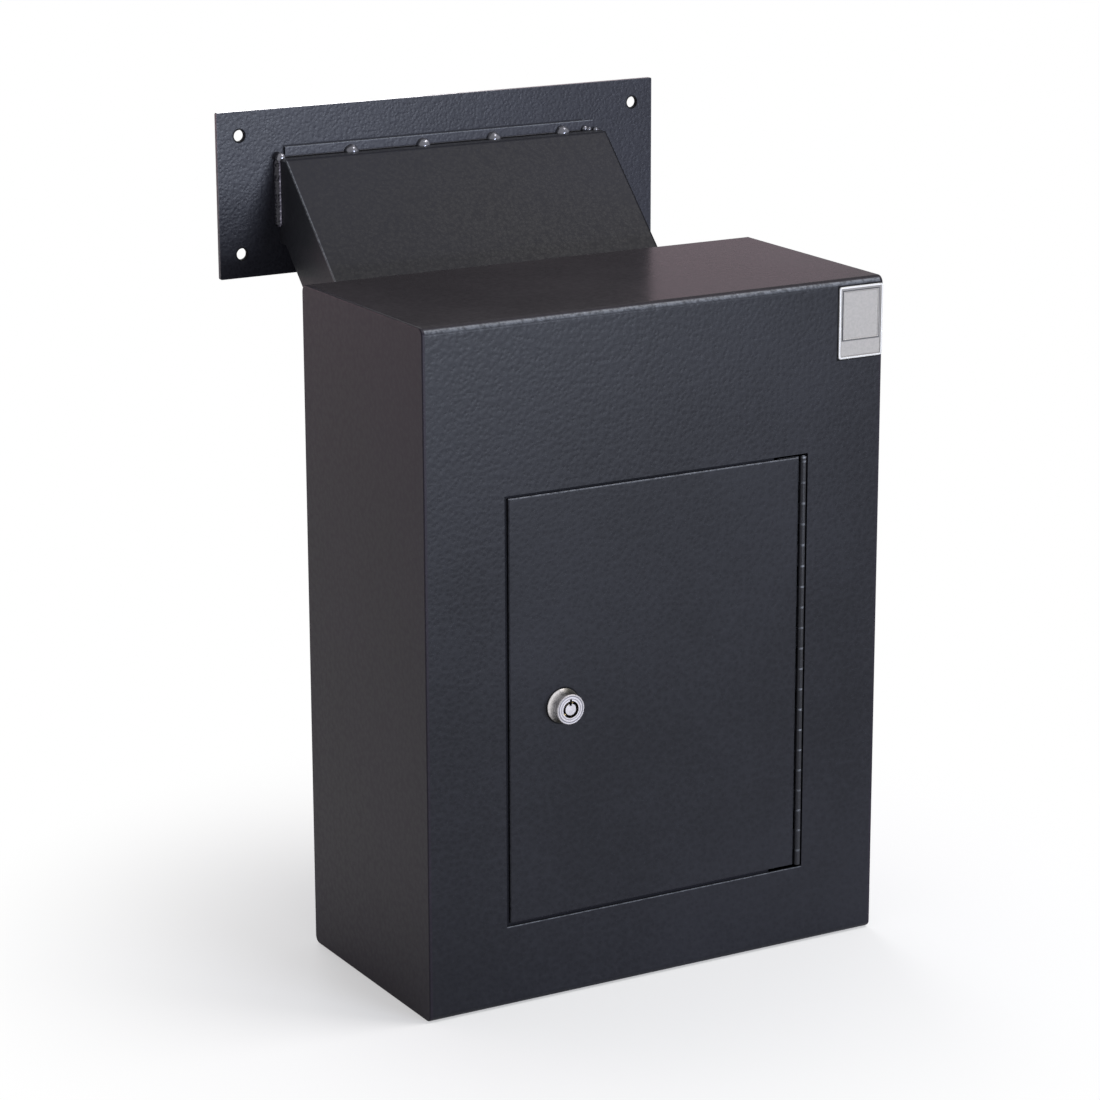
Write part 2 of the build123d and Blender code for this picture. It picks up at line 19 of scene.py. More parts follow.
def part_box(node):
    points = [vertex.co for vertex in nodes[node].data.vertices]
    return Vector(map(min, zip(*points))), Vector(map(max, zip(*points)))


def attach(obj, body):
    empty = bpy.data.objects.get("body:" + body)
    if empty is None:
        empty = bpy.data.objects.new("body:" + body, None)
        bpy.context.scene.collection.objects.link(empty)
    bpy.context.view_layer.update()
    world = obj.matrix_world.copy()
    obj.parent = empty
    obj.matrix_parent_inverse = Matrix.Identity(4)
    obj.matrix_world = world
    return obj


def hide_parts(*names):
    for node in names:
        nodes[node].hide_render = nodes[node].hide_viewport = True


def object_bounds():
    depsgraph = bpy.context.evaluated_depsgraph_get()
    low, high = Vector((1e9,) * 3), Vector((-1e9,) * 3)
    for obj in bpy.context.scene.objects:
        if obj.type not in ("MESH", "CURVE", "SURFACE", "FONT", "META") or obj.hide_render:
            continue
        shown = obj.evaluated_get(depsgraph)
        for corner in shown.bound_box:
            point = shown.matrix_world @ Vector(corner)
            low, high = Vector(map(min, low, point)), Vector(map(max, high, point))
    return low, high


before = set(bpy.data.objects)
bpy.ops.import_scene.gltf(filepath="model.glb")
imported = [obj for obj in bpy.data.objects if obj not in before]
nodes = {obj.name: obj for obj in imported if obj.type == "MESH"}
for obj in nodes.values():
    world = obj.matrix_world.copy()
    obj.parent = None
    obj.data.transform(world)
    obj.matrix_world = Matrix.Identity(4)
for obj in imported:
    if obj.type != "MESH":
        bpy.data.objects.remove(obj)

cad_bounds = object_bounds()
MM = 0.001
print("CAD box in mm:", [[round(v / MM, 1) for v in corner] for corner in cad_bounds])

# %% [markdown]
# ## The camera
#
# A product shot is taken from some way off with a long lens, so that upright edges stay nearly parallel.
# The camera stands to the left of the box and a little above it, and looks down by some fifteen degrees. A
# back vector, from the box to the camera, is turned into a rotation with `to_track_quat`, and a hair of
# roll is added about the line of sight.

# %% Place the camera
view_yaw = radians(-29.635)
view_pitch = radians(15.310)
view_roll = radians(-0.172)
back = Vector((sin(view_yaw) * cos(view_pitch), -cos(view_yaw) * cos(view_pitch), sin(view_pitch)))

camera_data = bpy.data.cameras.new("studio_camera")
camera_data.sensor_width = 36.0
camera_data.lens = 118.10
camera = bpy.data.objects.new("studio_camera", camera_data)
camera.rotation_mode = "QUATERNION"
level_look = (-back).to_track_quat("-Z", "Y")
camera.rotation_quaternion = Matrix.Rotation(view_roll, 3, back).to_quaternion() @ level_look
camera.location = Vector((-1044.6, -1783.6, 809.2)) * MM
bpy.context.scene.collection.objects.link(camera)
bpy.context.scene.camera = camera
middle = (Vector(cad_bounds[0]) + Vector(cad_bounds[1])) / 2
print("camera is", round((camera.location - middle).length, 2), "m from the middle of the box and its chute")

# %% [markdown]
# ## One small language for nodes
#
# Shader trees and Geometry Nodes trees are built in the same way: a node, its settings, and values or links
# for its sockets. `Graph.node` does that for any node. `Wire` wraps an output, and its operators add Math
# nodes, so that a mask reads like arithmetic: `1 - mask * 0.5`.

# %% Wires and graphs
class Wire:
    """An output of a node that can be used in arithmetic."""

    def __init__(self, graph, socket):
        self.graph = graph
        self.socket = socket

    def out(self, name):
        """Another output of the same node."""
        return Wire(self.graph, self.socket.node.outputs[name])

    def maths(self, operation, *others):
        return self.graph.maths(operation, self, *others)

    def __add__(self, other):
        return self.maths("ADD", other)

    def __sub__(self, other):
        return self.maths("SUBTRACT", other)

    def __rsub__(self, other):
        return self.graph.maths("SUBTRACT", other, self)

    def __mul__(self, other):
        return self.maths("MULTIPLY", other)

    def __truediv__(self, other):
        return self.maths("DIVIDE", other)

    def __pow__(self, other):
        return self.maths("POWER", other)

    __radd__ = __add__
    __rmul__ = __mul__


class Graph:
    """A node tree that is built one node at a time."""

    def __init__(self, tree):
        self.tree = tree
        tree.nodes.clear()

    def node(self, kind, settings=None, inputs=None, output=0):
        """Adds a node. Settings come first, then its sockets, by name or place."""
        made = self.tree.nodes.new(kind)
        for name, value in (settings or {}).items():
            setattr(made, name, value)
        for key, value in (inputs or {}).items():
            if isinstance(value, Wire):
                self.tree.links.new(value.socket, made.inputs[key])
            else:
                made.inputs[key].default_value = value
        return Wire(self, made.outputs[output]) if made.outputs else made

    def maths(self, operation, *values):
        return self.node("ShaderNodeMath", {"operation": operation}, dict(enumerate(values)))

    def vector_maths(self, operation, *values, output=0):
        return self.node("ShaderNodeVectorMath", {"operation": operation}, dict(enumerate(values)), output)

    def scaled(self, vector, factor):
        return self.node("ShaderNodeVectorMath", {"operation": "SCALE"}, {0: vector, "Scale": factor})

    def apart(self, vector):
        """The three numbers of a vector, as the outputs X, Y and Z."""
        return self.node("ShaderNodeSeparateXYZ", None, {0: vector})

    def together(self, x, y, z):
        return self.node("ShaderNodeCombineXYZ", None, {0: x, 1: y, 2: z})

    def noise(self, place, scale, detail, output=0):
        sockets = {"Vector": place, "Scale": scale, "Detail": detail}
        return self.node("ShaderNodeTexNoise", None, sockets, output)

    def seeded_noise(self, place, seed, scale, detail):
        """A noise with a fourth dimension, so that each seed gives another pattern."""
        sockets = {"Vector": place, "W": seed, "Scale": scale, "Detail": detail}
        return self.node("ShaderNodeTexNoise", {"noise_dimensions": "4D"}, sockets)

    def bump(self, height, distance):
        return self.node("ShaderNodeBump", None, {"Strength": 1.0, "Distance": distance, "Height": height})

    def between(self, value, low, high, to_low=0.0, to_high=1.0):
        """A smooth step from to_low to to_high while value goes from low to high."""
        steps = {"interpolation_type": "SMOOTHSTEP"}
        sockets = {0: value, 1: low, 2: high, 3: to_low, 4: to_high}
        return self.node("ShaderNodeMapRange", steps, sockets)

    def blend(self, factor, first, second):
        """A colour between two colours."""
        return self.node("ShaderNodeMix", {"data_type": "RGBA"}, {0: factor, 6: first, 7: second}, output=2)


def shader_graph(name):
    """A new material, and the graph of its empty tree."""
    material = bpy.data.materials.new(name)
    material.use_nodes = True
    return material, Graph(material.node_tree)


def object_place(graph):
    """Where a point lies on its piece, and so in the CAD frame, because no piece is moved."""
    return graph.node("ShaderNodeTexCoord").out("Object")


def surface(graph, shader):
    """Ends a shader tree."""
    graph.node("ShaderNodeOutputMaterial", None, {"Surface": shader})


print("helpers ready")

# %% [markdown]
# ## Hammered powder coat
#
# The whole box is sprayed with charcoal powder that draws into small shallow pools as it melts, so that the
# skin looks beaten. Two things make it: the relief, and the way the gloss changes between the hollows and
# the ridges. The relief could be a Voronoi pattern alone, but that looks like scales. Here a Noise texture
# first bends the coordinates, a smooth Voronoi gives the pools, and a finer Noise gives the orange peel
# between them. The same recipe with other sizes gives the coarse skin of the wall plate, the finer one of
# the box and the nearly smooth one of the hood.

# %% The skin of the coat
def beaten_skin(graph, place, pool, depth, peel):
    """The pools, and the relief in metres. pool is their size and depth their depth, both in mm."""
    bend = graph.noise(place, 0.45 / (pool * MM), 1.0, "Color")
    bent = graph.vector_maths("MULTIPLY_ADD", bend, (pool * MM * 0.9,) * 3, place)
    pools = graph.node(
        "ShaderNodeTexVoronoi",
        {"feature": "SMOOTH_F1"},
        {"Vector": bent, "Scale": 1 / (pool * MM), "Smoothness": 0.55, "Randomness": 1.0},
    )
    grain = graph.noise(place, 2.4 / (pool * MM), 2.0)
    return pools, (pools * (1 - peel) + grain * peel) * (depth * MM)


print("skin ready")

# %% [markdown]
# Pale edges are painted into the coat's colour. On the edges that face up they are a painted highlight: the
# bend over the front, the sill, the top of the door, the hood's left edge and ledge, the top of its flange.
# The hinge's knuckles are paler at their ends, partly worn bare and partly a painted glint, and the wall
# plate is paler along its edges. Each node has its own edges, so each coat may be given a function that says
# where they are pale. `near` is one on a line and falls to nothing at a width from it. The masks are kept to
# the outer skin, so that the gap round the door stays dark.

# %% Painted highlights on edges
def near(graph, distance, width):
    """One where the distance is nothing, and nothing where it is the width, in mm, or more."""
    return graph.between(distance.maths("ABSOLUTE"), 0.0, width * MM, 1.0, 0.0)


def outline(split, left, right, low, high):
    """Distance to the outline of a rectangle in x and z, less than nothing inside it. Its sides are in mm."""
    from_x = (split.out("X") - (left + right) / 2 * MM).maths("ABSOLUTE") - (right - left) / 2 * MM
    from_z = (split.out("Z") - (low + high) / 2 * MM).maths("ABSOLUTE") - (high - low) / 2 * MM
    return from_x.maths("MAXIMUM", from_z)


def front_skin(graph, split, front_y, full, none):
    """The outer skin of a sheet's front: one up to full mm behind front_y, and nothing from none mm on."""
    return graph.between(split.out("Y"), (front_y + full) * MM, (front_y + none) * MM, 1.0, 0.0)


def in_mm(node):
    """A node's lowest and highest corners, in mm."""
    low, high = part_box(node)
    return low / MM, high / MM


wrap_low, wrap_high = in_mm("body_wrap")
door_low, door_high = in_mm("door_panel")
leaf_low, leaf_high = in_mm("hinge_frame_leaf")
plate_low, plate_high = in_mm("wall_plate")
hood_low, hood_high = in_mm("chute_hood")
pin_low, pin_high = in_mm("hinge_pin")
# What no node's box gives, in mm: the door's opening, the outside of the wrapped sheet's bends, and the
# hinge's knuckles.
opening_side, sill = 101.6, 49.0
bend_radius = 4.4
lowest_knuckle, knuckle_pitch = 9.3, 12.7
# The foot of the hood's flange, and the crease where its narrow ledge meets the slope.
flange_foot, hood_crease = hood_high.z - 8.0, hood_high.y - 11.0


def thin_on_wrap(graph, split):
    """A painted highlight on the sill of the door's opening, and on the crown of the bend between the front
    and the top.
    """
    skin = front_skin(graph, split, wrap_low.y, 0.3, 1.0)
    below_door = split.out("X").maths("ABSOLUTE").maths("LESS_THAN", opening_side * MM)
    edge = near(graph, split.out("Z") - sill * MM, 0.7) * skin * below_door
    crown = (wrap_high.z - wrap_low.y - bend_radius * (2 - sqrt(2))) * MM
    return edge.maths("MAXIMUM", graph.between(split.out("Z") - split.out("Y"), crown - 1.3 * MM, crown))


def thin_on_door(graph, split):
    """A painted highlight on the door's top edge, and a little on its other three."""
    skin = front_skin(graph, split, door_low.y, 0.5, 1.1)
    top = near(graph, split.out("Z") - door_high.z * MM, 0.95)
    side = near(graph, outline(split, door_low.x, door_high.x, door_low.z, door_high.z), 0.6)
    return top.maths("MAXIMUM", side * 0.15) * skin


def thin_on_plate(graph, split):
    """Paler along the four edges of the wall plate."""
    return near(graph, outline(split, plate_low.x, plate_high.x, plate_low.z, plate_high.z), 0.7) * 0.4


def thin_on_hood(graph, split):
    """A painted highlight on the raw left edge, and a little on the narrow ledge that the tacks stand on."""
    ledge = graph.between(split.out("Y"), (hood_crease + 0.4) * MM, (hood_crease + 1.2) * MM)
    return near(graph, split.out("X") - hood_low.x * MM, 0.9).maths("MAXIMUM", ledge * 0.24)


def thin_on_flange(graph, split):
    """A painted highlight on the flange's raw top edge."""
    return near(graph, split.out("Z") - hood_high.z * MM, 0.8)


def thin_on_hinge(graph, split):
    """Paler on both sides of each gap between two knuckles, partly wear and partly a painted glint, and a
    painted highlight on the hinge's upper end.
    """
    step = knuckle_pitch * MM
    turn = ((split.out("Z") - (leaf_low.z + lowest_knuckle) * MM) / step).maths("FRACT")
    gap = near(graph, ((turn - 0.5).maths("ABSOLUTE") - 0.5) * step, 0.8)
    crest = near(graph, split.out("X") - (pin_low.x + pin_high.x) / 2 * MM, 2.1)
    return gap.maths("MAXIMUM", near(graph, split.out("Z") - leaf_high.z * MM, 1.8)) * crest


hinge_length = leaf_high.z - leaf_low.z
print("the hinge is", round(hinge_length, 1), "mm long, with a knuckle every", knuckle_pitch, "mm")

# %% [markdown]
# Where shade falls into a hole or a tight corner, a nearly black, dull painted shade is mixed into the coat.
# A second function of each coat says where that is: round and in the wall plate's holes, in the corner beside
# the hood's flange and at its foot, along the hood's right edge, and as painted shadow lines round the lock
# and badge.

# %% Where shade is painted
hole_inset, hole_radius = 14.7, 3.55
flange_left, flange_right = hood_low.x + 4.0, hood_high.x - 12.0
head_low, head_high = in_mm("lock_cylinder")
lock_x, lock_z = (head_low.x + head_high.x) / 2, (head_low.z + head_high.z) / 2
badge_sides = badge_left, badge_right, badge_low, badge_high = 121.4, 152.0, 359.4, 402.3


def axis_distance(from_x, from_z):
    """Distance to a line that runs from the front to the back."""
    return (from_x * from_x + from_z * from_z) ** 0.5


def starved_on_plate(graph, split):
    """Painted shade on the four holes' walls and a little of the face round them, and a painted shade line
    along the hood's flange.
    """
    middle_z = (plate_low.z + plate_high.z) / 2
    from_x = split.out("X").maths("ABSOLUTE") - (plate_high.x - hole_inset) * MM
    from_z = (split.out("Z") - middle_z * MM).maths("ABSOLUTE") - (plate_high.z - middle_z - hole_inset) * MM
    from_hole = axis_distance(from_x, from_z)
    hole = graph.between(from_hole, (hole_radius + 0.4) * MM, (hole_radius + 1.1) * MM, 1.0, 0.0)
    round_flange = outline(split, flange_left, flange_right, hood_low.z, hood_high.z)
    corner = near(graph, round_flange - 0.5 * MM, 0.9)
    beside_flange = split.out("Z").maths("GREATER_THAN", flange_foot * MM)
    on_face = split.out("Y").maths("LESS_THAN", (plate_low.y + 0.5) * MM)
    return hole.maths("MAXIMUM", corner * beside_flange * on_face * 0.45)


def starved_on_hood(graph, split):
    """Painted shade at the foot of the flange, and a dark painted line along the raw edge on the right."""
    foot = graph.between(split.out("Y"), (hood_high.y - 4.0) * MM, (hood_high.y - 2.6) * MM)
    return foot.maths("MAXIMUM", near(graph, split.out("X") - hood_high.x * MM, 1.3))


def starved_on_wrap(graph, split):
    """A painted shadow line round the badge."""
    skin = front_skin(graph, split, wrap_low.y, 0.3, 1.0)
    return near(graph, outline(split, *badge_sides) - 0.3 * MM, 0.9) * skin


def starved_on_door(graph, split):
    """A painted shadow ring where the lock's head meets the door."""
    from_axis = axis_distance(split.out("X") - lock_x * MM, split.out("Z") - lock_z * MM)
    head_radius = (head_high.x - head_low.x) / 2
    return near(graph, from_axis - (head_radius + 0.3) * MM, 1.2)


print("holes are", hole_inset, "mm in from the plate's edges")

# %% [markdown]
# A coat is then one recipe: a colour, the size and depth of the pools, how much orange peel lies between
# them, and how rough and how bright the skin is. A slow drift of tone and gloss keeps a large sheet from
# looking printed. The pale edges are laid over that, broken up by a fine noise, and the painted shade over
# those.

# %% A recipe for the coat
# The colour of the painted shade.
shade_black = (0.004, 0.004, 0.005, 1.0)


def coat_shader(
    graph, colour, pool, depth, peel, roughness, gleam, thin=None, pale=0.10, starved=None, level=None
):
    """thin says where edges are painted pale: a painted highlight, and on the hinge also wear.
    pale is the tone there, starved says where a nearly black painted shade goes, and level where it drew out
    flat."""
    place = object_place(graph)
    split = graph.apart(place)
    pools, relief = beaten_skin(graph, place, pool, depth, peel)
    if level:
        relief = relief * (1 - level(graph, split) * 0.65)
    drift = graph.noise(place, 9.0, 3.0)
    tint = graph.between(drift + (pools - 0.5) * 0.25, 0.25, 0.8)
    shade = graph.blend(tint, (*(c * 0.84 for c in colour), 1.0), (*(c * 1.22 for c in colour), 1.0))
    gloss = graph.between(pools * 0.6 + drift * 0.4, 0.2, 0.75, roughness * 0.88, roughness * 1.16)
    # Pale edges: a painted highlight, and on the hinge also wear.
    if thin:
        patchy = graph.noise(place, 520.0, 3.0)
        lit_and_worn = thin(graph, split) * graph.between(patchy, 0.3, 0.65, 0.35, 1.0)
        shade = graph.blend(lit_and_worn, shade, (pale * 0.94, pale * 0.98, pale * 1.08, 1.0))
    # Painted shade: a nearly black colour, and rougher, where shade falls.
    if starved:
        dull = starved(graph, split)
        shade = graph.blend(dull, shade, shade_black)
        gloss = gloss + (0.9 - gloss) * dull
    bump = graph.bump(relief, 1.0)
    sockets = {"Base Color": shade, "Roughness": gloss, "Normal": bump, "Specular IOR Level": gleam}
    return graph.node("ShaderNodeBsdfPrincipled", None, sockets)


def powder_coat(name, *recipe, **places):
    """One material with one coat, from its recipe and its places."""
    material, graph = shader_graph(name)
    surface(graph, coat_shader(graph, *recipe, **places))
    return material


charcoal = (0.0098, 0.0100, 0.0134)
hammered = ((0.0215, 0.0220, 0.0290), 2.1, 0.125, 0.30, 0.28, 0.092)
door_places = {"thin": thin_on_door, "pale": 0.17, "starved": starved_on_door}
coat_door = powder_coat("coat_door", charcoal, 3.0, 0.08, 0.20, 0.355, 0.12, **door_places)
# The side panels are painted lighter and pinker than the front: a painted warm reflection.
coat_side_warm_lit = powder_coat("coat_side_warm_lit", (0.0145, 0.0122, 0.0175), 3.0, 0.03, 0.4, 0.40, 0.09)
# The stops and the baffle are painted darker: a painted shade in the gap round the door.
coat_inner_shaded = powder_coat("coat_inner_shaded", (0.0085, 0.0085, 0.011), 2.4, 0.05, 0.4, 0.60, 0.04)
hinge_places = {"thin": thin_on_hinge, "pale": 0.27}
coat_hinge = powder_coat("coat_hinge", (0.012, 0.012, 0.015), 1.4, 0.08, 0.5, 0.34, 0.20, **hinge_places)
coat_plate = powder_coat("coat_plate", *hammered, thin=thin_on_plate, starved=starved_on_plate)
coat_body = powder_coat("coat_body", (0.0180, 0.0185, 0.0225), 2.2, 0.03, 0.5, 0.42, 0.10)
plain_coats = (coat_door, coat_side_warm_lit, coat_inner_shaded, coat_hinge, coat_plate, coat_body)
print("plain coats:", [coat.name for coat in plain_coats])

# %% [markdown]
# Two nodes carry two coats each. The powder on the top of the wrapped sheet flowed out flatter than on its
# front, with less gleam, and over the bend between them it drew out nearly level. The top is also painted
# lighter and pinker than the front, a painted warm reflection. The hood has a smoother skin than the plate,
# but its flange was sprayed together with the plate, so the plate's skin runs over it. The flange's colour
# is painted lighter than the plate's, as painted light against the shade by the hood.
# Splitting the mesh would leave a seam, so one material holds both coats, and a mask along y or z mixes
# them.

# %% Coats that meet on one sheet
def joined_coat(name, first, second, where):
    """One material with two coats, each a recipe and its places. where goes from the first to the second."""
    material, graph = shader_graph(name)
    share = where(graph, graph.apart(object_place(graph)))
    coats = [coat_shader(graph, *recipe, **places) for recipe, places in (first, second)]
    surface(graph, graph.node("ShaderNodeMixShader", None, {0: share, 1: coats[0], 2: coats[1]}))
    return material


def on_top(graph, split):
    """Everything above the start of the flat top."""
    return graph.between(split.out("Z"), (wrap_high.z - 1.6) * MM, (wrap_high.z - 0.7) * MM)


def on_flange(graph, split):
    """The part of the hood that lies against the plate."""
    return graph.between(split.out("Y"), (hood_high.y - 2.0) * MM, (hood_high.y - 1.6) * MM)


def level_on_wrap(graph, split):
    """The bend between the front and the top."""
    foot = wrap_high.z - bend_radius
    return graph.between(split.out("Z"), foot * MM, (foot + bend_radius / 2) * MM)


front = (charcoal, 3.0, 0.105, 0.20, 0.345, 0.12)
# The top's colour is lighter and pinker than the front's: a painted warm reflection.
warm_lit_top = ((0.0365, 0.0330, 0.0368), 3.0, 0.030, 0.30, 0.21, 0.0067)
wrap_places = {"thin": thin_on_wrap, "pale": 0.14, "starved": starved_on_wrap, "level": level_on_wrap}
coat_wrap = joined_coat("coat_wrap", (front, wrap_places), (warm_lit_top, {}), on_top)
smooth = ((0.0125, 0.0125, 0.0165), 2.2, 0.022, 0.50, 0.44, 0.09)
hood_places = {"thin": thin_on_hood, "pale": 0.16, "starved": starved_on_hood}
# The flange's colour is lighter than the plate's: painted light against the shade by the hood.
flange = ((0.0290, 0.0295, 0.0380), *hammered[1:])
flange_places = {"thin": thin_on_flange, "pale": 0.16}
coat_hood = joined_coat("coat_hood", (smooth, hood_places), (flange, flange_places), on_flange)
print("joined coats:", [coat.name for coat in (coat_wrap, coat_hood)])

# %% [markdown]
# ## Turned nickel, zinc and brass
#
# The lock's head is turned on a lathe and satin plated: fine rings run round its axis, on the face as
# circles and on the waist as hoops. Both come from one pattern of the distance from the axis and the place
# along it, which needs no texture map. A streaked highlight up and to the left of the waist, and a dark brown
# shade below and behind it, are painted into its colour. The face is blasted and so duller than the waist,
# with two fine grooves turned in it that are painted dark as shade, and the keyway is painted dark for its
# grease and the shade in it. The nut, the washer and the cam are zinc plated, with a mottled, slightly blue
# skin, and the key pins are brass.

# %% Turned nickel and brass
outer_groove, inner_groove = 7.7, 6.2
keyway_wall, keyway_floor = 6.3, 5.6
# The direction, in x and z, of the painted highlight on the waist.
light_left, light_up = 0.94, 0.34


def lathe_rings(graph, place, ring_scale):
    """Distance from the lock's axis, place along it, rings round it, and how far up and left a point is."""
    split = graph.apart(place)
    out_x = split.out("X") - lock_x * MM
    out_z = split.out("Z") - lock_z * MM
    radius = axis_distance(out_x, out_z)
    rings = graph.noise(graph.together(radius, split.out("Y") * 0.8, 0.0), ring_scale, 3.0)
    upper_left = (out_z * light_up - out_x * light_left) / radius
    return radius, split.out("Y") - head_low.y * MM, rings, upper_left


def lock_nickel():
    """Satin nickel for the lock: bright waist with a painted highlight up and left and painted shade below,
    dull face with two turned rings painted dark as shade, and the key's hole painted dark for grease and
    shade.
    """
    material, graph = shader_graph("lock_nickel")
    place = object_place(graph)
    radius, behind, rings, upper_left = lathe_rings(graph, place, 2600.0)
    smear = graph.noise(place, 260.0, 4.0)
    tone = graph.between(rings * 0.6 + smear * 0.4, 0.3, 0.7)
    bright = graph.blend(tone, (0.66, 0.635, 0.635, 1.0), (0.92, 0.885, 0.89, 1.0))
    # A painted highlight up and to the left of the waist, streaked, and a painted dark brown shade below and
    # behind it.
    streaks = {"W": upper_left, "Scale": 9.0, "Detail": 2.0}
    light_streaks = graph.node("ShaderNodeTexNoise", {"noise_dimensions": "1D"}, streaks)
    lit_side = graph.between(upper_left + (light_streaks - 0.5) * 0.5, 0.1, 1.0)
    bright = graph.blend(lit_side, (0.085, 0.080, 0.068, 1.0), bright)
    dull = graph.blend(tone, (0.290, 0.273, 0.275, 1.0), (0.405, 0.380, 0.385, 1.0))
    face = graph.between(behind, 0.25 * MM, 0.6 * MM, 1.0, 0.0)
    shade = graph.blend(face, bright, dull)
    # Two fine grooves: a little relief in the bump, and painted dark as shade.
    grooves_and_shade = near(graph, radius - outer_groove * MM, 0.6)
    grooves_and_shade = grooves_and_shade + near(graph, radius - inner_groove * MM, 0.5) * 0.75
    shade = graph.blend(grooves_and_shade * face * 0.85, shade, (0.06, 0.06, 0.075, 1.0))
    # The keyway is painted dark, for its grease and the shade that falls in it.
    inside = graph.between(radius, keyway_wall * MM, (keyway_wall + 0.2) * MM, 1.0, 0.0)
    above_floor = graph.between(behind, keyway_floor * MM, (keyway_floor + 0.8) * MM, 1.0, 0.0)
    keyway_grease_and_shade = graph.between(behind, 0.45 * MM, 1.6 * MM) * above_floor * inside
    shade = graph.blend(keyway_grease_and_shade, shade, (0.026, 0.021, 0.016, 1.0))
    gloss = graph.between(smear + (rings - 0.5) * 0.5, 0.25, 0.8, 0.30, 0.46) + face * 0.16 + keyway_grease_and_shade * 0.2
    bump = graph.bump(rings - grooves_and_shade * 3, 0.03 * MM)
    sockets = {"Base Color": shade, "Metallic": 0.72 - face * 0.07, "Roughness": gloss, "Normal": bump}
    surface(graph, graph.node("ShaderNodeBsdfPrincipled", None, sockets))
    return material


def turned_brass():
    """Plain turned brass for the key pins."""
    material, graph = shader_graph("pin_brass")
    _, _, rings, _ = lathe_rings(graph, object_place(graph), 2200.0)
    shade = graph.blend(graph.between(rings, 0.3, 0.7), (0.52, 0.38, 0.15, 1.0), (0.72, 0.55, 0.25, 1.0))
    gloss = graph.between(rings, 0.2, 0.8, 0.22, 0.36)
    bump = graph.bump(rings, 0.01 * MM)
    sockets = {"Base Color": shade, "Metallic": 1.0, "Roughness": gloss, "Normal": bump}
    surface(graph, graph.node("ShaderNodeBsdfPrincipled", None, sockets))
    return material


nickel = lock_nickel()
brass = turned_brass()
print("lock axis in mm:", round(lock_x, 2), round(lock_z, 2))

# %% [markdown]
# Zinc from a plating barrel, a weld's scale and cast metal have one thing in common: a mottled tone with a
# skin of fine scuffs. One recipe serves them all, with a lower metallic value where the skin is more oxide
# than metal. It takes a function that says where the skin is paler, wear on the badge's rim and a painted
# highlight along the side beads, and one that says where it is enamelled.

# %% Mottled metals
enamel = (0.018, 0.018, 0.022, 1.0)


def plated_metal(
    name, colour, roughness, mottle, metallic=1.0, rubbed_and_lit=None, rubbed_and_lit_colour=(0.62, 0.61, 0.60), inked=None
):
    """Mottled tone, and a skin of fine scuffs.

    rubbed_and_lit says where it is paler, to the colour rubbed_and_lit_colour: wear on the badge's rim, and a
    painted highlight on the side beads. inked says where a dark enamel line runs.
    """
    material, graph = shader_graph(name)
    place = object_place(graph)
    cloud = graph.noise(place, mottle, 4.0)
    scuff = graph.noise(place, mottle * 9, 2.0)
    tone = graph.between(cloud, 0.3, 0.7)
    shade = graph.blend(tone, (*(c * 0.84 for c in colour), 1.0), (*colour, 1.0))
    split = graph.apart(place)
    if rubbed_and_lit:
        shade = graph.blend(rubbed_and_lit(graph, split), shade, (*rubbed_and_lit_colour, 1.0))
    if inked:
        shade = graph.blend(inked(graph, split), shade, enamel)
    gloss = graph.between(cloud * 0.5 + scuff * 0.5, 0.3, 0.7, roughness * 0.8, roughness * 1.25)
    bump = graph.bump(scuff, 0.012 * MM)
    sockets = {"Base Color": shade, "Metallic": metallic, "Roughness": gloss, "Normal": bump}
    surface(graph, graph.node("ShaderNodeBsdfPrincipled", None, sockets))
    return material


zinc = plated_metal("zinc_plate", (0.56, 0.58, 0.60), 0.32, 320.0)
weld_skin = plated_metal("weld_skin", (0.050, 0.050, 0.058), 0.30, 500.0, metallic=0.35)
tack_skin = plated_metal("tack_skin", (0.15, 0.15, 0.17), 0.20, 500.0, metallic=0.65)
print("metals:", [metal.name for metal in (nickel, brass, zinc, weld_skin, tack_skin)])

# %% [markdown]
# ## Giving each CAD node its finish
#
# A CAD node keeps its shape and takes only a material. Its slot is emptied and filled, which leaves the
# mesh itself untouched.

# %% Paint the nodes
finishes = {
    coat_wrap: ["body_wrap"],
    coat_door: ["door_panel"],
    coat_side_warm_lit: ["left_side", "right_side"],
    coat_hinge: ["hinge_frame_leaf", "hinge_door_leaf", "hinge_pin"],
    coat_inner_shaded: ["stop_left", "stop_top", "stop_bottom", "baffle"],
    coat_plate: ["wall_plate"],
    coat_hood: ["chute_hood"],
    nickel: ["lock_cylinder", "lock_plug"],
    zinc: ["lock_washer", "lock_nut", "lock_cam", "cam_washer", "cam_screw"],
    brass: ["key_pins"],
}
finish_of = {name: coat for coat, names in finishes.items() for name in names}
for name, node in nodes.items():
    node.data.materials.clear()
    node.data.materials.append(finish_of.get(name, coat_body))
print("painted", len(nodes), "nodes")

# %% [markdown]
# ## Growing repeated detail
#
# Welds, tacks and threads repeat a small shape along a line. Geometry Nodes suit them: one tree holds the
# rule and each weld gives it only its sizes. `geometry_graph` opens a tree with named inputs, `close_tree`
# ends it with real geometry and a material, and `grow` runs it on a starting mesh and keeps the result as a
# plain mesh, so that nothing live is left for the export to lose.

# %% Helpers for Geometry Nodes
def geometry_graph(name, labels):
    """Opens a tree with a number for each label, and returns it with its group input."""
    tree = bpy.data.node_groups.new(name, "GeometryNodeTree")
    tree.interface.new_socket("Geometry", in_out="INPUT", socket_type="NodeSocketGeometry")
    for label in labels:
        tree.interface.new_socket(label, in_out="INPUT", socket_type="NodeSocketFloat")
    tree.interface.new_socket("Material", in_out="INPUT", socket_type="NodeSocketMaterial")
    tree.interface.new_socket("Geometry", in_out="OUTPUT", socket_type="NodeSocketGeometry")
    graph = Graph(tree)
    return graph, graph.node("NodeGroupInput")


